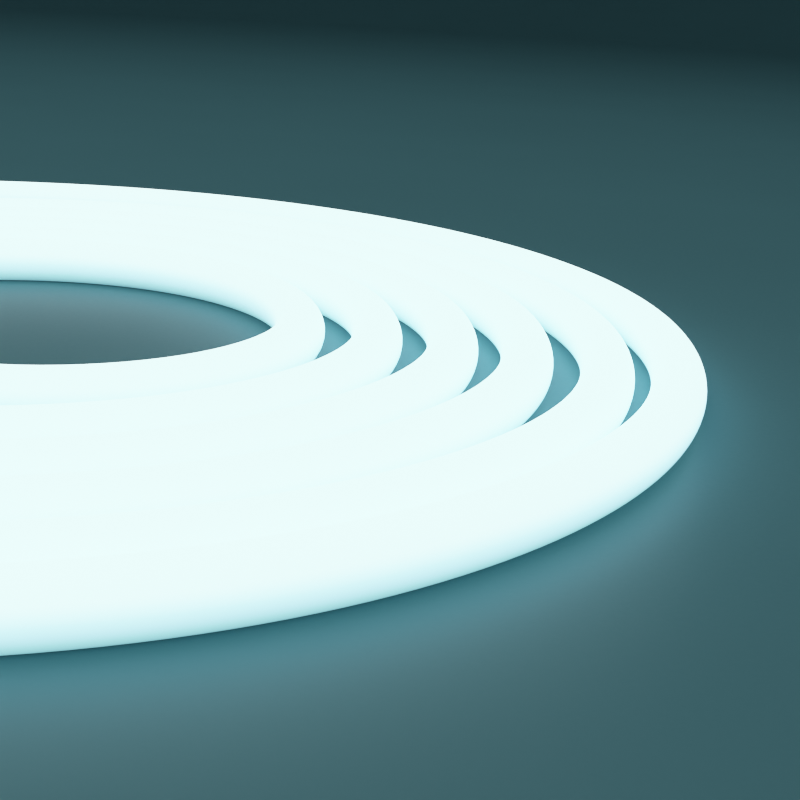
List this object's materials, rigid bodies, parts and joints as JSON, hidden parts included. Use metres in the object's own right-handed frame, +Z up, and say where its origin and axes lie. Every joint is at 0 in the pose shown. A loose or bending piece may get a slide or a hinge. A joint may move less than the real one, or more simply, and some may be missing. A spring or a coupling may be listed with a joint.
{
  "type": "led strip light",
  "caption": "Flexible round LED tube light with a milky diffuser, coiled flat in loose turns, with a plain end cap and a feed cap with a pin inlet.",
  "frame": {"origin": "on the floor under the middle of the coil's outline", "axes": "+Z up from the floor, +X to the picture's right, +Y away from the camera"},
  "size_m": [0.4168, 0.4048, 0.0176],
  "materials": {
    "silicone_diffuser": "satin, milky and glowing cool white",
    "silicone_cap": "satin",
    "contact_brass": "polished"
  },
  "bodies": {
    "root": {"diffuser_tube": "silicone_diffuser", "tail_cap": "silicone_cap", "feed_cap": "silicone_cap", "feed_pin_a": "contact_brass", "feed_pin_b": "contact_brass"}
  },
  "joints": []
}
